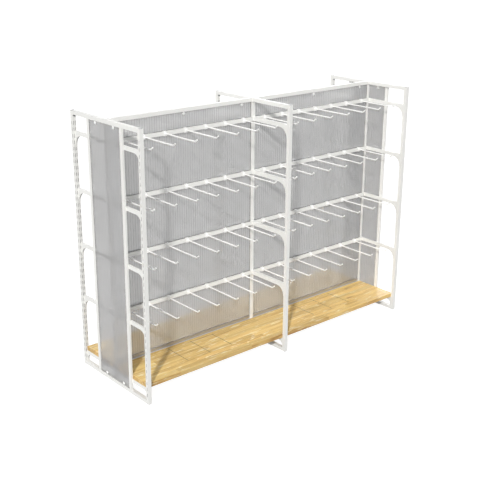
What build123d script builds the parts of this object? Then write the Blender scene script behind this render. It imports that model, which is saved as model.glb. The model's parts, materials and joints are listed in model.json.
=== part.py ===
"""Double-sided display stand with two bays of hanging hooks over wooden base boards.

Millimetres, +Z up. The origin is on the floor under the middle of the stand. The length runs
along X, the front is towards -Y, and the stand is the same in front and behind.
"""
import os

from build123d import *

os.makedirs("parts", exist_ok=True)

# Driving dimensions of the stand.
stand_height = 2125.0
stand_depth = 926.0
bay_pitch = 1416.0  # from one frame's centre to the next
tube = 30.0  # side of the square tube, and wide side of the flat tube
flat_tube = 15.0  # narrow side of the flat tube
upright_wall = 2.0
rail_wall = 1.5
foot_height = 4.0  # height of the foot discs that the tubes stand on

# Hook levels and the slots that the arms hook into.
first_level = 604.0  # height of the lowest crossbar's centre line
level_count = 4
slot_pitch = 50.0
slots_per_level = 9
level_pitch = slot_pitch * slots_per_level
slot_width = 4.0
slot_height = 28.0
slot_column_gap = 15.0  # between the two columns of slots, one for each bay's arms
outer_slot_width = 6.0  # of the single column on an end frame's outer face
slot_rows = 40
slots_above = 2  # whole pitches from the top arms' first slot up to the top slot
slot_drop = 25.0  # from an arm's centre line down to the first slot that it hooks into

# Arms.
arm_wall = 1.5
end_plate = 3.0
gusset_radius = 80.0
base_gusset_radius = 50.0
tab_thickness = 3.0
tab_height = 24.0
tab_depth = 8.0

# Boards.
board_bottom = 126.0
board_thickness = 36.0
board_end_gap = 0.5
board_front_gap = 0.5
board_back_gap = 1.0
board_edge_radius = 2.0
board_slots_per_bay = 3  # cross slots in the top, for upright dividers
board_slot_pitch = 228.0
board_slot_width = 4.0
board_slot_length = 275.0
board_slot_depth = 12.0
board_slot_y = 177.5  # from the stand's centre plane to the middle of a slot

# Panels, their channels and their snap rivets.
sheet = 6.0
inner_upright_y = 220.0
channel_height = 30.0
channel_width = 16.0
channel_wall = 2.0
channel_foot = 6.5  # how far the channel's foot flanges reach past its sides
rivet_inset = 15.0  # from the rail that a row of rivets is beside
rivet_end_offset = 590.0  # from the bay's centre, along X
rivet_side_offset = 120.0  # from the stand's centre, along Y
rivet_head_radius = 13.0
rivet_head_height = 5.0
rivet_shank_radius = 2.9
rivet_hole_radius = 3.0
rivet_tail_radius = 5.5
rivet_tail_height = 2.5
tab_plate = 2.0  # thickness of the tabs welded to the rails behind the panels
tab_plate_width = 26.0

# Hooks.
hooks_per_row = 7
hook_pitch = 198.0
hook_wire = 10.0
hook_reach = 403.0  # from the stand's centre plane to the bend
hook_bend_radius = 12.0
hook_tip_run = 22.0
hook_tip_rise = 17.0
clip_width = 26.0
clip_thickness = 2.5
clip_clearance = 0.3
clip_back_drop = 12.0  # from the bar's top down to the end of the lip behind it
clip_foot_depth = 8.0  # how far the lower lip reaches under the bar

# Feet and the threaded inserts for a header.
foot_radius = 13.0
stud_radius = 5.0
stud_length = 45.0
stud_clearance = 0.3
foot_plate = 5.0
insert_drop = 39.0  # from the stand's top to the insert's axis
insert_bore_radius = 5.0
insert_barrel_radius = 6.5
insert_flange_radius = 8.5
insert_flange = 1.5
insert_depth = 15.0

# Derived places.
tab_plate_length = 2 * rivet_inset
upright_y = (stand_depth - tube) / 2
inner_face_y = upright_y - tube / 2
rail_length = 2 * inner_face_y
top_rail_bottom = stand_height - tube
bottom_rail_top = foot_height + tube
bay_clear = bay_pitch - tube
post_half = tube / 2
bar_y = post_half + flat_tube / 2
levels = [first_level + level * level_pitch for level in range(level_count)]
top_slot = levels[-1] - slot_drop + slots_above * slot_pitch
slot_heights = [top_slot - slot_pitch * row for row in range(slot_rows)]
slot_middle = (slot_heights[0] + slot_heights[-1]) / 2
board_top = board_bottom + board_thickness
frames = {"left": -bay_pitch, "middle": 0.0, "right": bay_pitch}
outward = {"left": -1, "middle": 0, "right": 1}
sides = {"front": -1, "rear": 1}
bays = {"left": -bay_pitch / 2, "right": bay_pitch / 2}


def make_upright(frame, side_name):
    """An outer upright: slotted towards the middle, and on the outer face of an end frame."""
    side = sides[side_name]
    centre = (frames[frame], side * upright_y)
    hollow = tube - 2 * upright_wall
    with BuildPart() as upright:
        with BuildSketch(Plane.XY.offset(foot_height)):
            with Locations(centre):
                Rectangle(tube, tube)
        extrude(amount=stand_height - foot_height)
        with BuildSketch(Plane.XY.offset(foot_height + foot_plate)):
            with Locations(centre):
                Rectangle(hollow, hollow)
        extrude(amount=stand_height - upright_wall - foot_height - foot_plate, mode=Mode.SUBTRACT)
        with BuildSketch(Plane.XY.offset(foot_height)):
            with Locations(centre):
                Circle(stud_radius + stud_clearance)
        extrude(amount=foot_plate, mode=Mode.SUBTRACT)
        face = (centre[0], side * inner_face_y, slot_middle)
        with BuildSketch(Plane(origin=face, x_dir=(1, 0, 0), z_dir=(0, side, 0))):
            with GridLocations(slot_column_gap, slot_pitch, 2, slot_rows):
                Rectangle(slot_width, slot_height)
        extrude(amount=upright_wall, mode=Mode.SUBTRACT)
        insert = (centre[0], side * inner_face_y, stand_height - insert_drop)
        with BuildSketch(Plane(origin=insert, x_dir=(1, 0, 0), z_dir=(0, side, 0))):
            Circle(insert_barrel_radius)
        extrude(amount=upright_wall, mode=Mode.SUBTRACT)
        if outward[frame]:
            out = outward[frame]
            face = (centre[0] + out * tube / 2, centre[1], slot_middle)
            with BuildSketch(Plane(origin=face, x_dir=(0, 1, 0), z_dir=(-out, 0, 0))):
                with GridLocations(1, slot_pitch, 1, slot_rows):
                    Rectangle(outer_slot_width, slot_height)
            extrude(amount=upright_wall, mode=Mode.SUBTRACT)
    upright.part.label = f"upright_{frame}_{side_name}"
    export_step(upright.part, f"parts/upright_{frame}_{side_name}.step")


def make_frame_rail(name, frame, low_z, tab_low_z):
    """A square rail across a frame, with tabs for the end panel on an end frame."""
    start = (frames[frame], -rail_length / 2, low_z + tube / 2)
    hollow = tube - 2 * rail_wall
    with BuildPart() as rail:
        with BuildSketch(Plane(origin=start, x_dir=(1, 0, 0), z_dir=(0, 1, 0))):
            Rectangle(tube, tube)
            Rectangle(hollow, hollow, mode=Mode.SUBTRACT)
        extrude(amount=rail_length)
        if outward[frame]:
            out = outward[frame]
            panel_inner_x = frames[frame] + out * (flat_tube - sheet) / 2
            face = (panel_inner_x, 0, tab_low_z + tab_plate_length / 2)
            with BuildSketch(Plane(origin=face, x_dir=(0, 1, 0), z_dir=(-out, 0, 0))):
                with GridLocations(2 * rivet_side_offset, 1, 2, 1):
                    Rectangle(tab_plate_width, tab_plate_length)
                    Circle(rivet_hole_radius, mode=Mode.SUBTRACT)
            extrude(amount=tab_plate)
    rail.part.label = name
    export_step(rail.part, f"parts/{name}.step")


def make_post(name, low_x, width, centre_y):
    """A plain tube that stands between the bottom rail and the top rail."""
    with BuildPart() as post:
        with BuildSketch(Plane.XY.offset(bottom_rail_top)):
            with Locations(*[(low_x + width / 2, y) for y in centre_y]):
                Rectangle(width, tube)
                Rectangle(width - 2 * rail_wall, tube - 2 * rail_wall, mode=Mode.SUBTRACT)
        extrude(amount=top_rail_bottom - bottom_rail_top)
    post.part.label = name
    export_step(post.part, f"parts/{name}.step")


def make_ridge_rail(bay):
    """The square rail along the top of a bay, with three tabs behind the central panel."""
    start = (bays[bay] - bay_clear / 2, 0, top_rail_bottom + tube / 2)
    hollow = tube - 2 * rail_wall
    tab_middle = (bays[bay], sheet / 2, top_rail_bottom - tab_plate_length / 2)
    with BuildPart() as ridge:
        with BuildSketch(Plane(origin=start, x_dir=(0, 1, 0), z_dir=(1, 0, 0))):
            Rectangle(tube, tube)
            Rectangle(hollow, hollow, mode=Mode.SUBTRACT)
        extrude(amount=bay_clear)
        with BuildSketch(Plane(origin=tab_middle, x_dir=(-1, 0, 0), z_dir=(0, 1, 0))):
            with GridLocations(rivet_end_offset, 1, 3, 1):
                Rectangle(tab_plate_width, tab_plate_length)
                Circle(rivet_hole_radius, mode=Mode.SUBTRACT)
        extrude(amount=tab_plate)
    ridge.part.label = f"ridge_rail_{bay}"
    export_step(ridge.part, f"parts/ridge_rail_{bay}.step")


def make_channel(bay):
    """The U-shaped channel, with foot flanges, that holds the central panel's lower edge."""
    start = (bays[bay] - bay_clear / 2, 0, board_top + channel_height / 2)
    with BuildPart() as channel:
        with BuildSketch(Plane(origin=start, x_dir=(0, 1, 0), z_dir=(1, 0, 0))):
            Rectangle(channel_width, channel_height)
            with Locations((0, channel_wall)):
                Rectangle(channel_width - 2 * channel_wall, channel_height, mode=Mode.SUBTRACT)
            with Locations((0, (channel_wall - channel_height) / 2)):
                Rectangle(channel_width + 2 * channel_foot, channel_wall)
        extrude(amount=bay_clear)
    channel.part.label = f"panel_channel_{bay}"
    export_step(channel.part, f"parts/panel_channel_{bay}.step")


def make_central_panel(bay):
    """The sheet between two frames, from its channel up to the ridge rail."""
    low_z = board_top + channel_wall
    height = top_rail_bottom - low_z
    start = (bays[bay], -sheet / 2, low_z + height / 2)
    rivet_height = height / 2 - rivet_inset
    with BuildPart() as panel:
        with BuildSketch(Plane(origin=start, x_dir=(-1, 0, 0), z_dir=(0, 1, 0))):
            Rectangle(bay_clear, height)
            with Locations((0, rivet_height)):
                with GridLocations(rivet_end_offset, 1, 3, 1):
                    Circle(rivet_hole_radius, mode=Mode.SUBTRACT)
        extrude(amount=sheet)
    panel.part.label = f"central_panel_{bay}"
    export_step(panel.part, f"parts/central_panel_{bay}.step")


def make_end_panel(frame):
    """The sheet between the inner uprights of an end frame."""
    out = outward[frame]
    width = 2 * inner_upright_y - tube
    height = top_rail_bottom - bottom_rail_top
    start = (frames[frame] + out * (flat_tube - sheet) / 2, 0, bottom_rail_top + height / 2)
    with BuildPart() as panel:
        with BuildSketch(Plane(origin=start, x_dir=(0, out, 0), z_dir=(out, 0, 0))):
            Rectangle(width, height)
            with GridLocations(2 * rivet_side_offset, 1, 2, 1):
                with Locations((0, height / 2 - rivet_inset), (0, rivet_inset - height / 2)):
                    Circle(rivet_hole_radius, mode=Mode.SUBTRACT)
        extrude(amount=sheet)
    panel.part.label = f"end_panel_{frame}"
    export_step(panel.part, f"parts/end_panel_{frame}.step")


def make_arms(frame, bay, side_name):
    """One bay's arms on one side of a frame: four for the crossbars and one for the board."""
    side = sides[side_name]
    toward_bay = 1 if bays[bay] > frames[frame] else -1
    middle_x = frames[frame] + toward_bay * flat_tube / 2
    low_x = middle_x - flat_tube / 2
    plate_y = inner_face_y - end_plate
    base_level = board_bottom - tube / 2
    name = f"arms_{frame}_{side_name}"
    if frame == "middle":
        name = f"arms_middle_{bay}_{side_name}"
    with BuildPart() as arms:
        for level in [base_level] + levels:
            radius = base_gusset_radius if level == base_level else gusset_radius
            under = level - tube / 2
            start = (middle_x, side * post_half, level)
            with BuildSketch(Plane(origin=start, x_dir=(1, 0, 0), z_dir=(0, side, 0))):
                Rectangle(flat_tube, tube)
                Rectangle(flat_tube - 2 * arm_wall, tube - 2 * arm_wall, mode=Mode.SUBTRACT)
            extrude(amount=plate_y - post_half)
            with BuildSketch(Plane(origin=(low_x, 0, 0), x_dir=(0, 1, 0), z_dir=(1, 0, 0))):
                with BuildLine():
                    bend = plate_y - radius * (1 - 0.5**0.5)
                    Line((side * (plate_y - radius), under), (side * plate_y, under))
                    Line((side * plate_y, under), (side * plate_y, under - radius))
                    ThreePointArc(
                        (side * plate_y, under - radius),
                        (side * bend, under - radius * (1 - 0.5**0.5)),
                        (side * (plate_y - radius), under),
                    )
                make_face()
                with Locations((side * (plate_y + end_plate / 2), level - radius / 2)):
                    Rectangle(end_plate, tube + radius)
            extrude(amount=flat_tube)
            lowest_tab = under - radius + tab_height / 2
            highest_tab = level + (tube - tab_height) / 2
            tabs = [height for height in slot_heights if lowest_tab <= height <= highest_tab]
            hook = (middle_x, side * inner_face_y, 0)
            with BuildSketch(Plane(origin=hook, x_dir=(-side, 0, 0), z_dir=(0, side, 0))):
                with Locations(*[(0, height) for height in tabs]):
                    Rectangle(tab_thickness, tab_height)
            extrude(amount=tab_depth)
    arms.part.label = name
    export_step(arms.part, f"parts/{name}.step")


def make_crossbars(bay, side_name):
    """The four closed flat tubes of one side of a bay, on which the hooks hang."""
    middle_y = sides[side_name] * bar_y
    with BuildPart() as bars:
        with Locations(*[(bays[bay], middle_y, level) for level in levels]):
            Box(bay_clear, flat_tube, tube)
            Box(
                bay_clear - 2 * end_plate,
                flat_tube - 2 * arm_wall,
                tube - 2 * arm_wall,
                mode=Mode.SUBTRACT,
            )
    bars.part.label = f"crossbars_{bay}_{side_name}"
    export_step(bars.part, f"parts/crossbars_{bay}_{side_name}.step")


def make_hook():
    """One hook about its crossbar's centre line: a clip round the bar and a bent wire prong."""
    half_y = flat_tube / 2 + clip_clearance
    half_z = tube / 2 + clip_clearance
    outer_y = half_y + clip_thickness
    outer_z = half_z + clip_thickness
    bend_y = -(hook_reach - bar_y)
    with BuildPart() as hook:
        with BuildSketch(Plane(origin=(-clip_width / 2, 0, 0), x_dir=(0, 1, 0), z_dir=(1, 0, 0))):
            with BuildLine():
                Polyline(
                    (-outer_y, outer_z),
                    (outer_y, outer_z),
                    (outer_y, tube / 2 - clip_back_drop),
                    (half_y, tube / 2 - clip_back_drop),
                    (half_y, half_z),
                    (-half_y, half_z),
                    (-half_y, -half_z),
                    (clip_foot_depth - half_y, -half_z),
                    (clip_foot_depth - half_y, -outer_z),
                    (-outer_y, -outer_z),
                    close=True,
                )
            make_face()
        extrude(amount=clip_width)
        corners = hook.edges().filter_by(Axis.X).group_by(Axis.Y)[0]
        fillet(corners, radius=clip_thickness / 2)
        start = (0, -half_y - clip_thickness / 2, 0)
        bend = (0, bend_y, 0)
        tip = (0, bend_y - hook_tip_run, hook_tip_rise)
        with BuildLine():
            prong = FilletPolyline(start, bend, tip, radius=hook_bend_radius)
        with BuildSketch(Plane(origin=start, z_dir=(0, -1, 0))):
            Circle(hook_wire / 2)
        sweep(path=prong)
        with Locations(tip):
            Sphere(hook_wire / 2)
    return hook.part


def make_hook_row(bay, side_name, level_number, hook):
    """The hooks of one crossbar, evenly spaced."""
    side = sides[side_name]
    turn = 0 if side < 0 else 180
    first_x = bays[bay] - hook_pitch * (hooks_per_row - 1) / 2
    places = []
    for number in range(hooks_per_row):
        place = (first_x + number * hook_pitch, side * bar_y, levels[level_number - 1])
        places.append(Location(place, (0, 0, turn)))
    with BuildPart() as row:
        with Locations(*places):
            add(hook)
    row.part.label = f"hooks_{bay}_{side_name}_{level_number}"
    export_step(row.part, f"parts/hooks_{bay}_{side_name}_{level_number}.step")


def bay_slot_places(side_name):
    """Places on a board's top, at the middle of each cross slot of both bays."""
    first = -(board_slots_per_bay - 1) * board_slot_pitch / 2
    return [
        (bay_x + first + number * board_slot_pitch, sides[side_name] * board_slot_y, board_thickness)
        for bay_x in bays.values()
        for number in range(board_slots_per_bay)
    ]


def make_board(side_name):
    """The wooden base board of one side, which lies on the base arms of all three frames."""
    length = 2 * bay_pitch - 2 * board_end_gap
    front_y = inner_face_y - board_front_gap
    back_y = post_half + board_back_gap
    middle_y = sides[side_name] * (front_y + back_y) / 2
    with BuildPart(Plane.XY.offset(board_bottom)) as board:
        with Locations((0, middle_y)):
            Box(
                length,
                front_y - back_y,
                board_thickness,
                align=(Align.CENTER, Align.CENTER, Align.MIN),
            )
        long_edges = board.edges().filter_by(Axis.X)
        fillet(long_edges, radius=board_edge_radius)
        with Locations(*bay_slot_places(side_name)):
            Box(
                board_slot_width,
                board_slot_length,
                board_slot_depth,
                align=(Align.CENTER, Align.CENTER, Align.MAX),
                mode=Mode.SUBTRACT,
            )
    board.part.label = f"board_{side_name}"
    export_step(board.part, f"parts/board_{side_name}.step")


def make_rivet():
    """One snap rivet with its axis on Z: domed head above, shank and tail below."""
    grip = sheet + tab_plate
    with BuildPart() as rivet:
        with BuildSketch(Plane.XZ):
            with BuildLine():
                Polyline(
                    (rivet_head_radius, 0),
                    (rivet_shank_radius, 0),
                    (rivet_shank_radius, -grip),
                    (rivet_tail_radius, -grip),
                    (rivet_tail_radius, -grip - rivet_tail_height),
                    (0, -grip - rivet_tail_height),
                    (0, rivet_head_height),
                )
                ThreePointArc(
                    (0, rivet_head_height),
                    (rivet_head_radius * 0.6, rivet_head_height * 0.75),
                    (rivet_head_radius, 0),
                )
            make_face()
        revolve(axis=Axis.Z)
    return rivet.part


def make_central_rivets(rivet):
    """The rivets along the tops of both central panels, with their heads in front."""
    height = top_rail_bottom - rivet_inset
    places = []
    for middle in bays.values():
        for step in (-1, 0, 1):
            place = (middle + step * rivet_end_offset, -sheet / 2, height)
            places.append(Location(place, (90, 0, 0)))
    with BuildPart() as rivets:
        with Locations(*places):
            add(rivet)
    rivets.part.label = "central_panel_rivets"
    export_step(rivets.part, "parts/central_panel_rivets.step")


def make_end_rivets(rivet):
    """The rivets at the tops and bottoms of both end panels, with their heads outside."""
    places = []
    for frame in ("left", "right"):
        out = outward[frame]
        head_x = frames[frame] + out * (flat_tube + sheet) / 2
        for height in (top_rail_bottom - rivet_inset, bottom_rail_top + rivet_inset):
            for side in sides.values():
                place = (head_x, side * rivet_side_offset, height)
                places.append(Location(place, (0, out * 90, 0)))
    with BuildPart() as rivets:
        with Locations(*places):
            add(rivet)
    rivets.part.label = "end_panel_rivets"
    export_step(rivets.part, "parts/end_panel_rivets.step")


def make_inserts():
    """The threaded inserts near the tops of the uprights, facing the middle."""
    places = []
    for frame_x in frames.values():
        for side in sides.values():
            place = (frame_x, side * inner_face_y, stand_height - insert_drop)
            places.append(Location(place, (side * 90, 0, 0)))
    with BuildPart() as insert:
        Cylinder(insert_flange_radius, insert_flange, align=(Align.CENTER, Align.CENTER, Align.MIN))
        Cylinder(insert_barrel_radius, insert_depth, align=(Align.CENTER, Align.CENTER, Align.MAX))
        Hole(insert_bore_radius)
    with BuildPart() as inserts:
        with Locations(*places):
            add(insert.part)
    inserts.part.label = "header_inserts"
    export_step(inserts.part, "parts/header_inserts.step")


def make_feet():
    """The levelling feet: a disc under each upright and a stud up into it."""
    places = [(frame_x, side * upright_y) for frame_x in frames.values() for side in sides.values()]
    with BuildPart() as feet:
        with BuildSketch():
            with Locations(*places):
                Circle(foot_radius)
        extrude(amount=foot_height)
        with BuildSketch():
            with Locations(*places):
                Circle(stud_radius)
        extrude(amount=stud_length)
    feet.part.label = "levelling_feet"
    export_step(feet.part, "parts/levelling_feet.step")


for frame, frame_x in frames.items():
    for side_name in sides:
        make_upright(frame, side_name)
    make_frame_rail(f"top_rail_{frame}", frame, top_rail_bottom, top_rail_bottom - tab_plate_length)
    make_frame_rail(f"bottom_rail_{frame}", frame, foot_height, bottom_rail_top)

make_post("centre_post_left", -bay_pitch, flat_tube, [0])
make_post("centre_post_middle", -tube / 2, tube, [0])
make_post("centre_post_right", bay_pitch - flat_tube, flat_tube, [0])
inner_pair = [-inner_upright_y, inner_upright_y]
make_post("inner_uprights_left", -bay_pitch - flat_tube, flat_tube, inner_pair)
make_post("inner_uprights_right", bay_pitch, flat_tube, inner_pair)
make_end_panel("left")
make_end_panel("right")

hook = make_hook()
for bay in bays:
    make_ridge_rail(bay)
    make_channel(bay)
    make_central_panel(bay)
    for side_name in sides:
        make_crossbars(bay, side_name)
        make_arms(bay, bay, side_name)
        make_arms("middle", bay, side_name)
        for level_number in range(1, level_count + 1):
            make_hook_row(bay, side_name, level_number, hook)

for side_name in sides:
    make_board(side_name)

rivet = make_rivet()
make_central_rivets(rivet)
make_end_rivets(rivet)
make_inserts()
make_feet()
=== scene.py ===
"""Looks for the double-sided hook display stand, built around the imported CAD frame.

Everything is in metres, in the CAD frame: +Z up, the length along X, the front towards -Y.
"""

import json
import math
import random

import bmesh
import bpy
from mathutils import Matrix, Vector


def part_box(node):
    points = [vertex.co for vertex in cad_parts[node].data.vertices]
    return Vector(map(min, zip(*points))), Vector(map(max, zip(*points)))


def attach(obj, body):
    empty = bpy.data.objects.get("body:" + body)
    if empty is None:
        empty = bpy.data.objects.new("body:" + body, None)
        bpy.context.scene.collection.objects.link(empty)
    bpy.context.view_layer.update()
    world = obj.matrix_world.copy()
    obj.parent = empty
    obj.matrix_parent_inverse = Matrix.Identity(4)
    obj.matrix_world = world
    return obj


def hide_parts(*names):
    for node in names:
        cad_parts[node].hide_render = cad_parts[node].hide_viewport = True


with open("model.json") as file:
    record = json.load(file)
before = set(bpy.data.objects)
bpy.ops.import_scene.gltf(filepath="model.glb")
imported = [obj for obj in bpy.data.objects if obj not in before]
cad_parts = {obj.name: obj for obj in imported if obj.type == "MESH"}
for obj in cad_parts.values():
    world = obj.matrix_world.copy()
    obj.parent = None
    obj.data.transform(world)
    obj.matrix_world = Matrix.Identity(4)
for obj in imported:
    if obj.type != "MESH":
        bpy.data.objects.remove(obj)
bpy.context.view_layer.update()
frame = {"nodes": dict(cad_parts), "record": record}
nodes = frame["nodes"]

# The panels' flutes: their pitch, the grooves between them and the crowns' fall beside a groove.
FLUTE_PITCH = 0.0224
GROOVE_DEPTH = 0.0013
GROOVE_HALF = 0.06  # share of the pitch
CROWN_STEPS = (0.0, GROOVE_HALF, 0.2, 0.35, 0.5, 0.65, 0.8, 1 - GROOVE_HALF)
CROWN_FALL = 0.0003
FLUTE_FREE_EDGE = 0.001
CREASE_ANGLE = 12.0  # degrees
SCATTER_RADIUS = 0.01

# Painted shade inside the uprights' bores: a dark grey standing in for the shade in their slots
# and hollows.
BORE_PAINTED_SHADE = (0.17, 0.17, 0.175)

# The uprights: how far apart along X, how far from the middle along Y, and their half bore.
FRAME_PITCH = 1.416
UPRIGHT_Y = 0.448
BORE_HALF = 0.0135

# The boards' cross slots: their ends along Y, their places along X, half width and depth.
SLOTTED_FROM = 0.040
SLOTTED_TO = 0.315
SLOT_PITCH = 0.228
BAY_MIDDLES = (-FRAME_PITCH / 2, FRAME_PITCH / 2)
SLOT_PLACES = [bay + step * SLOT_PITCH for bay in BAY_MIDDLES for step in (-1, 0, 1)]
SLOT_HALF = 0.002
SLOT_DEPTH = 0.012

# The boards' staves: their edges, measured from the stand's middle along Y, and their joints.
STAVE_EDGES = (0.016, 0.040, 0.095, 0.150, 0.205, 0.260, 0.315, 0.374, 0.4325)
STAVE_GAP = 0.00012
STAVE_CHAMFER = 0.0005
EDGE_ROUND = 0.002
JOINT_LENGTHS = (0.62, 1.15)
FIRST_JOINT = 0.25  # least distance of a joint from the board's ends
SLOT_CLEARANCE = 0.03  # least distance of a joint from a slot, else it moves by JOINT_STEP
JOINT_STEP = 0.07
GRAIN_SPREAD = 9  # how far a length's grain may be shifted, each way along each axis

# Height below which the channel's foot gets a painted reflection, a bright bluish tone, apart
# from its dull sides.
CHANNEL_FOOT_TOP = 0.1645

FLOOR_REACH = 150.0

# Camera: degrees, metres and millimetres of lens.
CAMERA_AZIMUTH = 40.66
CAMERA_ELEVATION = 18.9
CAMERA_DISTANCE = 7.572
CAMERA_TARGET = (-0.1274, 0.0, 0.9197)
CAMERA_ROLL = 0.2465
CAMERA_LENS = 66.51
SENSOR_WIDTH = 36.0


# Node helpers.
def new_material(name):
    """An empty node material with a principled shader joined to its output."""
    material = bpy.data.materials.new(name)
    material.use_nodes = True
    tree = material.node_tree
    tree.nodes.clear()
    output = tree.nodes.new("ShaderNodeOutputMaterial")
    shader = tree.nodes.new("ShaderNodeBsdfPrincipled")
    tree.links.new(shader.outputs["BSDF"], output.inputs["Surface"])
    return material, tree, shader


def node(tree, kind, **values):
    """A node with its inputs or properties set by name."""
    made = tree.nodes.new(kind)
    for key, value in values.items():
        if hasattr(made, key):
            setattr(made, key, value)
        else:
            made.inputs[key.replace("_", " ")].default_value = value
    return made


def scaled_place(tree, scale):
    """Object coordinates in metres, times a scale for each axis."""
    place = tree.nodes.new("ShaderNodeTexCoord")
    mapping = tree.nodes.new("ShaderNodeMapping")
    mapping.inputs["Scale"].default_value = scale
    tree.links.new(place.outputs["Object"], mapping.inputs["Vector"])
    return mapping.outputs["Vector"]


def noise(tree, vector, scale, detail=2.0, roughness=0.5, distortion=0.0):
    """A noise texture's value."""
    made = tree.nodes.new("ShaderNodeTexNoise")
    made.inputs["Scale"].default_value = scale
    made.inputs["Detail"].default_value = detail
    made.inputs["Roughness"].default_value = roughness
    made.inputs["Distortion"].default_value = distortion
    tree.links.new(vector, made.inputs["Vector"])
    return made.outputs["Fac"]


def ramp(tree, value, stops):
    """A colour ramp from (place, colour) stops."""
    made = tree.nodes.new("ShaderNodeValToRGB")
    elements = made.color_ramp.elements
    while len(elements) < len(stops):
        elements.new(0.5)
    for element, (place, colour) in zip(elements, stops):
        element.position = place
        element.color = (*colour, 1.0)
    tree.links.new(value, made.inputs["Fac"])
    return made.outputs["Color"]


def to_range(tree, value, low, high, from_low=0.0, from_high=1.0):
    """A value moved to a range."""
    made = tree.nodes.new("ShaderNodeMapRange")
    made.inputs["From Min"].default_value = from_low
    made.inputs["From Max"].default_value = from_high
    made.inputs["To Min"].default_value = low
    made.inputs["To Max"].default_value = high
    tree.links.new(value, made.inputs["Value"])
    return made.outputs["Result"]


def math_node(tree, operation, first, second=None):
    """A math node on values or numbers."""
    made = tree.nodes.new("ShaderNodeMath")
    made.operation = operation
    for socket, value in zip(made.inputs, (first, second)):
        if value is None:
            continue
        if isinstance(value, (int, float)):
            socket.default_value = value
        else:
            tree.links.new(value, socket)
    return made.outputs[0]


def mix_colours(tree, factor, first, second, blend="MIX"):
    """Two colours mixed. A tuple is a fixed colour."""
    made = tree.nodes.new("ShaderNodeMix")
    made.data_type = "RGBA"
    made.blend_type = blend
    sockets = (made.inputs[0], made.inputs[6], made.inputs[7])
    for socket, value in zip(sockets, (factor, first, second)):
        if isinstance(value, (int, float)):
            socket.default_value = value
        elif isinstance(value, tuple):
            socket.default_value = (*value, 1.0)
        else:
            tree.links.new(value, socket)
    return made.outputs[2]


def add_bump(tree, shader, height, distance, strength=1.0):
    """Bump on the shader's normal, with its distance in metres."""
    made = tree.nodes.new("ShaderNodeBump")
    made.inputs["Strength"].default_value = strength
    made.inputs["Distance"].default_value = distance
    tree.links.new(height, made.inputs["Height"])
    tree.links.new(made.outputs["Normal"], shader.inputs["Normal"])


def split_place(tree):
    """Object coordinates in metres, one by one."""
    place = tree.nodes.new("ShaderNodeTexCoord")
    split = tree.nodes.new("ShaderNodeSeparateXYZ")
    tree.links.new(place.outputs["Object"], split.inputs[0])
    return split.outputs


# Materials.
def in_bore(tree):
    """One inside the bores of the six uprights, where the painted shade goes, else zero."""
    x, y, _ = split_place(tree)
    half_pitch = FRAME_PITCH / 2
    folded = math_node(tree, "SUBTRACT", math_node(tree, "ABSOLUTE", x), half_pitch)
    folded = math_node(tree, "SUBTRACT", math_node(tree, "ABSOLUTE", folded), half_pitch)
    off_y = math_node(tree, "SUBTRACT", math_node(tree, "ABSOLUTE", y), UPRIGHT_Y)
    off_x = math_node(tree, "ABSOLUTE", folded)
    off_y = math_node(tree, "ABSOLUTE", off_y)
    return math_node(tree, "LESS_THAN", math_node(tree, "MAXIMUM", off_x, off_y), BORE_HALF)


def powder_coat(name, dark, light, rough_low, rough_high, peel):
    """Powder coat: a fine orange peel, slight patches in tone and gloss, and painted shade inside
    the bores.
    """
    material, tree, shader = new_material(name)
    vector = scaled_place(tree, (1.0, 1.0, 1.0))
    patches = noise(tree, vector, 3.0, detail=4.0, roughness=0.6)
    tone = ramp(tree, patches, ((0.35, dark), (0.65, light)))
    # Painted shade: inside the bores the tone turns dark grey, standing in for the shade in the
    # slots.
    tone = mix_colours(tree, in_bore(tree), tone, BORE_PAINTED_SHADE)
    tree.links.new(tone, shader.inputs["Base Color"])
    smears = noise(tree, vector, 14.0, detail=3.0)
    tree.links.new(to_range(tree, smears, rough_low, rough_high), shader.inputs["Roughness"])
    add_bump(tree, shader, noise(tree, vector, 700.0, detail=1.5), peel, 0.35)
    shader.inputs["Specular IOR Level"].default_value = 0.5
    return material


def fluted_plastic(name, along, haze_low, haze_high, web_tone, rough_low, rough_high):
    """Translucent grey sheet: denser at the webs between flutes, which repeat along an axis."""
    material, tree, shader = new_material(name)
    turns = math_node(tree, "MULTIPLY", split_place(tree)[along], 2 * math.pi / FLUTE_PITCH)
    wave = math_node(tree, "COSINE", turns)
    web = to_range(tree, wave, 0.0, 1.0, 0.55, 1.0)
    vector = scaled_place(tree, (1.0, 1.0, 0.12))
    haze = noise(tree, vector, 6.0, detail=3.0)
    clear = ramp(tree, haze, ((0.3, haze_low), (0.7, haze_high)))
    tone = mix_colours(tree, web, clear, web_tone)
    tree.links.new(tone, shader.inputs["Base Color"])
    drawn = noise(tree, scaled_place(tree, (1.0, 1.0, 0.02)), 420.0, detail=2.0)
    tree.links.new(to_range(tree, drawn, rough_low, rough_high), shader.inputs["Roughness"])
    add_bump(tree, shader, drawn, 0.00012, 0.4)
    shader.inputs["Transmission Weight"].default_value = 0.78
    shader.inputs["IOR"].default_value = 1.5
    shader.inputs["Subsurface Weight"].default_value = 1.0
    shader.inputs["Subsurface Radius"].default_value = (SCATTER_RADIUS,) * 3
    shader.inputs["Subsurface Scale"].default_value = 1.0
    return material


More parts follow.
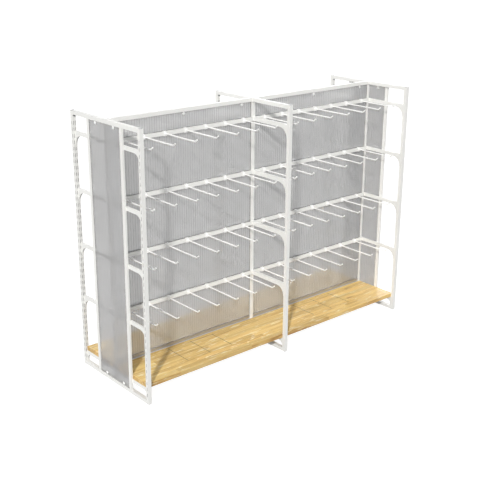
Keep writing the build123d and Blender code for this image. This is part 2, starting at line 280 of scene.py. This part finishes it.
def anodised_metal(name):
    """Satin anodised aluminium, drawn along its length, with a painted reflection along its foot.
    """
    material, tree, shader = new_material(name)
    lines = noise(tree, scaled_place(tree, (0.03, 1.0, 1.0)), 1400.0, detail=2.0)
    patches = noise(tree, scaled_place(tree, (1.0, 1.0, 1.0)), 5.0, detail=3.0)
    tone = ramp(tree, patches, ((0.3, (0.50, 0.50, 0.51)), (0.7, (0.58, 0.58, 0.59))))
    # Painted reflection: below the foot's top the tone turns bright bluish, standing in for the
    # sky reflected in the flange.
    foot = math_node(tree, "LESS_THAN", split_place(tree)[2], CHANNEL_FOOT_TOP)
    tone = mix_colours(tree, foot, tone, (0.86, 0.89, 0.95))
    tree.links.new(tone, shader.inputs["Base Color"])
    tree.links.new(to_range(tree, lines, 0.32, 0.48), shader.inputs["Roughness"])
    add_bump(tree, shader, lines, 0.00005, 0.4)
    shader.inputs["Metallic"].default_value = 0.9
    return material


def zinc_metal(name):
    """Zinc plate: small bright and dull spangles."""
    material, tree, shader = new_material(name)
    vector = scaled_place(tree, (1.0, 1.0, 1.0))
    spangles = noise(tree, vector, 220.0, detail=3.0)
    tone = ramp(tree, spangles, ((0.3, (0.42, 0.43, 0.45)), (0.7, (0.60, 0.61, 0.63))))
    tree.links.new(tone, shader.inputs["Base Color"])
    tree.links.new(to_range(tree, spangles, 0.25, 0.45), shader.inputs["Roughness"])
    add_bump(tree, shader, spangles, 0.00005, 0.3)
    shader.inputs["Metallic"].default_value = 1.0
    return material


def moulded_plastic(name):
    """White moulded plastic with a slightly uneven skin."""
    material, tree, shader = new_material(name)
    vector = scaled_place(tree, (1.0, 1.0, 1.0))
    skin = noise(tree, vector, 900.0, detail=2.0)
    patches = noise(tree, vector, 60.0, detail=2.0)
    tone = ramp(tree, patches, ((0.3, (0.84, 0.84, 0.83)), (0.7, (0.89, 0.89, 0.88))))
    tree.links.new(tone, shader.inputs["Base Color"])
    tree.links.new(to_range(tree, patches, 0.28, 0.4), shader.inputs["Roughness"])
    add_bump(tree, shader, skin, 0.00004, 0.4)
    return material


def pine(name):
    """Laminated pine under satin lacquer: grain along X, pale streaks, a few knots, and painted
    shade on its sides and in its slots.
    """
    material, tree, shader = new_material(name)
    place = tree.nodes.new("ShaderNodeTexCoord")
    shift = node(tree, "ShaderNodeAttribute", attribute_name="stave_shift")
    shifted = tree.nodes.new("ShaderNodeVectorMath")
    tree.links.new(place.outputs["Object"], shifted.inputs[0])
    tree.links.new(shift.outputs["Vector"], shifted.inputs[1])

    def stretched(x, y, z):
        mapping = tree.nodes.new("ShaderNodeMapping")
        mapping.inputs["Scale"].default_value = (x, y, z)
        tree.links.new(shifted.outputs["Vector"], mapping.inputs["Vector"])
        return mapping.outputs["Vector"]

    broad = noise(tree, stretched(1.6, 26.0, 26.0), 1.0, detail=3.0, distortion=0.8)
    rings = node(tree, "ShaderNodeTexWave", wave_type="BANDS", bands_direction="Y")
    rings.inputs["Scale"].default_value = 26.0
    rings.inputs["Distortion"].default_value = 5.0
    rings.inputs["Detail"].default_value = 2.5
    rings.inputs["Detail Scale"].default_value = 0.9
    tree.links.new(stretched(0.16, 1.0, 1.0), rings.inputs["Vector"])
    fibres = noise(tree, stretched(9.0, 420.0, 420.0), 1.0, detail=3.0, roughness=0.65)
    grain = math_node(tree, "ADD", math_node(tree, "MULTIPLY", broad, 0.62),
                      math_node(tree, "MULTIPLY", rings.outputs["Fac"], 0.22))
    grain = math_node(tree, "ADD", grain, math_node(tree, "MULTIPLY", fibres, 0.22))
    base = ramp(tree, grain, (
        (0.33, (0.40, 0.205, 0.045)),
        (0.44, (0.62, 0.385, 0.11)),
        (0.55, (0.80, 0.545, 0.185)),
        (0.69, (0.90, 0.685, 0.285)),
    ))
    flecks = noise(tree, stretched(8.0, 52.0, 52.0), 1.0, detail=2.0, distortion=0.5)
    pale = to_range(tree, flecks, 0.0, 0.9, 0.585, 0.68)
    colour = mix_colours(tree, pale, base, (0.95, 0.83, 0.54))
    cells = node(tree, "ShaderNodeTexVoronoi", feature="F1")
    cells.inputs["Scale"].default_value = 1.0
    cells.inputs["Randomness"].default_value = 1.0
    tree.links.new(stretched(1.5, 5.5, 5.5), cells.inputs["Vector"])
    knot = to_range(tree, cells.outputs["Distance"], 0.75, 0.0, 0.045, 0.15)
    colour = mix_colours(tree, knot, colour, (0.37, 0.165, 0.04))
    tone = node(tree, "ShaderNodeAttribute", attribute_name="stave_tone")
    shade = to_range(tree, tone.outputs["Fac"], 0.86, 1.1)
    grey = tree.nodes.new("ShaderNodeCombineColor")
    for channel in grey.inputs[:3]:
        tree.links.new(shade, channel)
    colour = mix_colours(tree, 1.0, colour, grey.outputs[0], "MULTIPLY")
    # Painted shade: every face that doesn't look up, such as the front edge and the underside, is
    # darkened, standing in for the shade on the board's sides.
    facing = tree.nodes.new("ShaderNodeNewGeometry")
    upright = tree.nodes.new("ShaderNodeSeparateXYZ")
    tree.links.new(facing.outputs["True Normal"], upright.inputs[0])
    edge = math_node(tree, "LESS_THAN", upright.outputs[2], 0.5)
    colour = mix_colours(tree, edge, colour, (0.77, 0.71, 0.62), "MULTIPLY")
    # Painted shade: the slots' walls and floor turn near black, standing in for the shade inside
    # them.
    slot = node(tree, "ShaderNodeAttribute", attribute_name="slot_shade")
    colour = mix_colours(tree, slot.outputs["Fac"], colour, (0.07, 0.04, 0.02))
    tree.links.new(colour, shader.inputs["Base Color"])
    tree.links.new(to_range(tree, fibres, 0.40, 0.56), shader.inputs["Roughness"])
    add_bump(tree, shader, fibres, 0.00025, 0.45)
    shader.inputs["Coat Weight"].default_value = 0.12
    shader.inputs["Coat Roughness"].default_value = 0.3
    return material


# Pieces.
def finish_mesh(name, mesh_data, material, body):
    """An object from a bmesh, with its material, riding on a body."""
    mesh = bpy.data.meshes.new(name)
    mesh_data.to_mesh(mesh)
    mesh_data.free()
    mesh.materials.append(material)
    piece = bpy.data.objects.new(name, mesh)
    bpy.context.scene.collection.objects.link(piece)
    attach(piece, body)
    return piece


def fluted_sheet(name, cad_name, along, material, fluted_sides):
    """A sheet in a CAD panel's place, with vertical flutes on some faces, as one closed shell."""
    low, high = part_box(cad_name)
    across = 1 - along
    edges = (low[along], high[along])
    half = (high[across] - low[across]) / 2
    middle = (high[across] + low[across]) / 2
    first = math.ceil(edges[0] / FLUTE_PITCH)
    last = math.floor(edges[1] / FLUTE_PITCH)
    stations = [(edges[0], 0.0)]
    for flute in range(first - 1, last + 1):
        for share in CROWN_STEPS:
            place = (flute + share) * FLUTE_PITCH
            if edges[0] + FLUTE_FREE_EDGE < place < edges[1] - FLUTE_FREE_EDGE:
                crown = 1 - abs(2 * share - 1)
                depth = GROOVE_DEPTH if share == 0.0 else CROWN_FALL * (1 - min(1.0, 2 * crown))
                stations.append((place, depth))
    stations.append((edges[1], 0.0))
    shell = bmesh.new()
    corners = []
    for place, depth in stations:
        row = []
        for side in (-1, 1):
            for height in (low.z, high.z):
                point = [0.0, 0.0, height]
                point[along] = place
                point[across] = middle + side * (half - (depth if side in fluted_sides else 0))
                row.append(shell.verts.new(point))
        corners.append(row)
    for here, there in zip(corners, corners[1:]):
        for low_end, high_end in ((0, 1), (2, 3), (0, 2), (1, 3)):
            shell.faces.new((here[low_end], here[high_end], there[high_end], there[low_end]))
    for row in (corners[0], corners[-1]):
        shell.faces.new((row[0], row[1], row[3], row[2]))
    bmesh.ops.recalc_face_normals(shell, faces=shell.faces)
    for face in shell.faces:
        face.smooth = True
    for edge in shell.edges:
        edge.smooth = edge.calc_face_angle(0.0) < math.radians(CREASE_ANGLE)
    piece = finish_mesh(name, shell, material, "stand")
    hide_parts(cad_name)
    return piece


def stave_outline(low_y, high_y, low_z, high_z, first, last):
    """A stave's cross-section: rounded where it is the board's own edge, else chamfered."""
    outline = []
    corners = (
        (low_y, low_z, -1, -1, first),
        (high_y, low_z, 1, -1, last),
        (high_y, high_z, 1, 1, last),
        (low_y, high_z, -1, 1, first),
    )
    for y, z, out_y, out_z, outer in corners:
        size = EDGE_ROUND if outer else STAVE_CHAMFER
        steps = 5 if outer else 2
        centre = (y - out_y * size, z - out_z * size)
        start = {(-1, -1): 180, (1, -1): 270, (1, 1): 0, (-1, 1): 90}[(out_y, out_z)]
        for step in range(steps):
            angle = math.radians(start + 90 * step / (steps - 1))
            point = (centre[0] + size * math.cos(angle), centre[1] + size * math.sin(angle))
            outline.append(point)
    return outline


def joint_places(draws, low_x, high_x):
    """Where a stave's lengths meet, clear of the slots, with the board's two ends."""
    places = [low_x]
    place = low_x + draws.uniform(FIRST_JOINT, JOINT_LENGTHS[1])
    while place < high_x - FIRST_JOINT:
        if min(abs(place - slot) for slot in SLOT_PLACES) < SLOT_CLEARANCE:
            place += JOINT_STEP
        places.append(place)
        place += draws.uniform(*JOINT_LENGTHS)
    places.append(high_x)
    return places


def length_stations(start, end, top, slotted):
    """A length's cross-sections along X, as (place, inset of the outline, height of the top)."""
    stations = [(start, STAVE_CHAMFER, top), (start + STAVE_CHAMFER, 0.0, top)]
    floor = top - SLOT_DEPTH
    for slot in SLOT_PLACES:
        if slotted and start < slot < end:
            stations.append((slot - SLOT_HALF, 0.0, top))
            stations.append((slot - SLOT_HALF, 0.0, floor))
            stations.append((slot + SLOT_HALF, 0.0, floor))
            stations.append((slot + SLOT_HALF, 0.0, top))
    stations.append((end - STAVE_CHAMFER, 0.0, top))
    stations.append((end, STAVE_CHAMFER, top))
    return stations


def add_length(shell, layers, outline, centre, stations, slot_floor, shift, tone):
    """One closed length of a stave, with its grain's shift and tone and its slots' painted shade.
    """
    shift_layer, tone_layer, slot_layer = layers
    rings = []
    for x, inset, top in stations:
        ring = []
        for y, z in outline:
            point = Vector((x, y, min(z, top)))
            toward = Vector((0, centre.y - y, centre.z - z))
            point.y += math.copysign(min(inset, abs(toward.y)), toward.y)
            point.z += math.copysign(min(inset, abs(toward.z)), toward.z)
            vertex = shell.verts.new(point)
            vertex[shift_layer] = shift
            vertex[tone_layer] = tone
            ring.append(vertex)
        rings.append(ring)
    count = len(outline)
    for here, there in zip(rings, rings[1:]):
        for spot in range(count):
            after = (spot + 1) % count
            face = shell.faces.new((here[spot], here[after], there[after], there[spot]))
            if abs(min(vertex.co.z for vertex in face.verts) - slot_floor) < STAVE_GAP:
                for loop in face.loops:
                    loop[slot_layer] = 1.0
    shell.faces.new(rings[0][::-1])
    shell.faces.new(rings[-1])


def laminated_board(name, cad_name, body, material, seed):
    """A board of glued staves, each of several lengths butted end to end."""
    draws = random.Random(seed)
    low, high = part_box(cad_name)
    side = 1 if low.y > 0 else -1
    shell = bmesh.new()
    layers = (
        shell.verts.layers.float_vector.new("stave_shift"),
        shell.verts.layers.float.new("stave_tone"),
        shell.loops.layers.float.new("slot_shade"),
    )
    for near, far in zip(STAVE_EDGES, STAVE_EDGES[1:]):
        low_y, high_y = sorted((side * near, side * far))
        first = low_y <= low.y + STAVE_GAP
        last = high_y >= high.y - STAVE_GAP
        low_y += 0 if first else STAVE_GAP
        high_y -= 0 if last else STAVE_GAP
        slotted = SLOTTED_FROM <= near and far <= SLOTTED_TO
        outline = stave_outline(low_y, high_y, low.z, high.z, first, last)
        centre = Vector((0, (low_y + high_y) / 2, (low.z + high.z) / 2))
        places = joint_places(draws, low.x, high.x)
        for start, end in zip(places, places[1:]):
            shift = Vector([draws.uniform(-GRAIN_SPREAD, GRAIN_SPREAD) for _ in range(3)])
            tone = draws.random()
            start += 0 if start == low.x else STAVE_GAP
            end -= 0 if end == high.x else STAVE_GAP
            stations = length_stations(start, end, high.z, slotted)
            slot_floor = high.z - SLOT_DEPTH
            add_length(shell, layers, outline, centre, stations, slot_floor, shift, tone)
    bmesh.ops.remove_doubles(shell, verts=shell.verts, dist=0.000001)
    bmesh.ops.recalc_face_normals(shell, faces=shell.faces)
    piece = finish_mesh(name, shell, material, body)
    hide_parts(cad_name)
    return piece


frame_paint = powder_coat(
    "frame_powder_coat", (0.75, 0.75, 0.73), (0.79, 0.79, 0.77), 0.38, 0.52, 0.0001
)
hook_paint = powder_coat(
    "hook_powder_coat", (0.90, 0.90, 0.89), (0.94, 0.94, 0.93), 0.25, 0.36, 0.00006
)
channel_metal = anodised_metal("anodised_channel")
zinc = zinc_metal("zinc_plate")
white_plastic = moulded_plastic("white_rivet_plastic")
bay_sheet = fluted_plastic(
    "fluted_sheet_bay",
    along=0,
    haze_low=(0.82, 0.825, 0.83),
    haze_high=(0.85, 0.853, 0.855),
    web_tone=(0.62, 0.628, 0.64),
    rough_low=0.08,
    rough_high=0.15,
)
end_sheet = fluted_plastic(
    "fluted_sheet_end",
    along=1,
    haze_low=(0.735, 0.736, 0.741),
    haze_high=(0.765, 0.765, 0.768),
    web_tone=(0.70, 0.703, 0.712),
    rough_low=0.02,
    rough_high=0.04,
)
wood = pine("laminated_pine")

# The record says which slot each node has, and so which material it gets.
by_slot = {
    "frame_paint": frame_paint,
    "hook_paint": hook_paint,
    "channel_metal": channel_metal,
    "zinc_steel": zinc,
    "rivet_plastic": white_plastic,
    "panel_sheet": bay_sheet,
    "board_wood": wood,
}
for part in frame["record"]["subparts"]:
    carried = nodes[part["node"]]
    carried.data.materials.clear()
    carried.data.materials.append(by_slot[part["material_slot"]])

for bay in ("left", "right"):
    inner = 1 if bay == "left" else -1
    fluted_sheet(f"fluted_central_panel_{bay}", f"central_panel_{bay}", 0, bay_sheet, (-1, 1))
    fluted_sheet(f"fluted_end_panel_{bay}", f"end_panel_{bay}", 1, end_sheet, (inner,))
laminated_board("laminated_board_front", "board_front", "board_front", wood, 11)
laminated_board("laminated_board_rear", "board_rear", "board_rear", wood, 23)

# Floor.
floor_mesh = bpy.data.meshes.new("studio_floor")
floor_corners = [
    (x * FLOOR_REACH, y * FLOOR_REACH, 0) for x, y in ((-1, -1), (1, -1), (1, 1), (-1, 1))
]
floor_mesh.from_pydata(floor_corners, [], [(0, 1, 2, 3)])
floor = bpy.data.objects.new("studio_floor", floor_mesh)
bpy.context.scene.collection.objects.link(floor)
floor_material, floor_tree, floor_shader = new_material("studio_floor")
floor_shader.inputs["Base Color"].default_value = (0.2, 0.2, 0.2, 1.0)
floor_shader.inputs["Roughness"].default_value = 0.9
floor_shader.inputs["Specular IOR Level"].default_value = 0.0
floor_shader.inputs["Emission Color"].default_value = (1.0, 1.0, 1.0, 1.0)
floor_shader.inputs["Emission Strength"].default_value = 0.95
floor_mesh.materials.append(floor_material)
floor.visible_transmission = False
floor.visible_diffuse = False

# Light: a sun for the key light, a weak broad one from behind, and a pale studio all round.
def add_sun(name, energy, spread, colour, toward):
    """A sun that shines along a direction, as wide as its spread in degrees."""
    data = bpy.data.lights.new(name, "SUN")
    data.energy = energy
    data.angle = math.radians(spread)
    data.color = colour
    sun = bpy.data.objects.new(name, data)
    bpy.context.scene.collection.objects.link(sun)
    sun.rotation_mode = "QUATERNION"
    sun.rotation_quaternion = Vector(toward).to_track_quat("-Z", "Y")


add_sun("key_light", 3.0, 4.0, (1.0, 0.985, 0.96), (1.33, 1.1, -1.0))
add_sun("fill_light", 0.9, 30.0, (0.96, 0.98, 1.0), (-0.75, -0.65, -0.2))

world = bpy.data.worlds.new("studio")
bpy.context.scene.world = world
world.use_nodes = True
world_tree = world.node_tree
world_tree.nodes.clear()
world_out = world_tree.nodes.new("ShaderNodeOutputWorld")
white_wall = node(world_tree, "ShaderNodeBackground", Color=(1.0, 1.0, 1.0, 1.0), Strength=1.05)
soft_light = node(world_tree, "ShaderNodeBackground", Strength=1.0)
direction = world_tree.nodes.new("ShaderNodeTexCoord")
heading = world_tree.nodes.new("ShaderNodeSeparateXYZ")
world_tree.links.new(direction.outputs["Generated"], heading.inputs[0])
sky = ramp(
    world_tree,
    to_range(world_tree, heading.outputs[2], 0.0, 1.0, -1.0, 1.0),
    ((0.46, (0.24, 0.245, 0.25)), (0.56, (0.60, 0.605, 0.61)), (1.0, (0.66, 0.665, 0.67))),
)
world_tree.links.new(sky, soft_light.inputs["Color"])
seen_through = node(
    world_tree, "ShaderNodeBackground", Color=(0.48, 0.475, 0.465, 1.0), Strength=1.0
)
rays = world_tree.nodes.new("ShaderNodeLightPath")
surface = soft_light.outputs[0]
for kind, backdrop in (("Is Transmission Ray", seen_through), ("Is Camera Ray", white_wall)):
    both = world_tree.nodes.new("ShaderNodeMixShader")
    world_tree.links.new(rays.outputs[kind], both.inputs[0])
    world_tree.links.new(surface, both.inputs[1])
    world_tree.links.new(backdrop.outputs[0], both.inputs[2])
    surface = both.outputs[0]
world_tree.links.new(surface, world_out.inputs["Surface"])

# Camera.
azimuth = math.radians(CAMERA_AZIMUTH)
elevation = math.radians(CAMERA_ELEVATION)
back = Vector(
    (
        -math.sin(azimuth) * math.cos(elevation),
        -math.cos(azimuth) * math.cos(elevation),
        math.sin(elevation),
    )
)
level_x = Vector((0, 0, 1)).cross(back).normalized()
level_y = back.cross(level_x)
roll = math.radians(CAMERA_ROLL)
camera_x = math.cos(roll) * level_x + math.sin(roll) * level_y
camera_y = back.cross(camera_x)
camera_data = bpy.data.cameras.new("camera")
camera_data.lens = CAMERA_LENS
camera_data.sensor_width = SENSOR_WIDTH
camera = bpy.data.objects.new("camera", camera_data)
bpy.context.scene.collection.objects.link(camera)
place = Vector(CAMERA_TARGET) + back * CAMERA_DISTANCE
camera.matrix_world = Matrix.Translation(place) @ Matrix(
    (camera_x, camera_y, back)
).transposed().to_4x4()
bpy.context.scene.camera = camera
bpy.context.scene.view_settings.view_transform = "Standard"
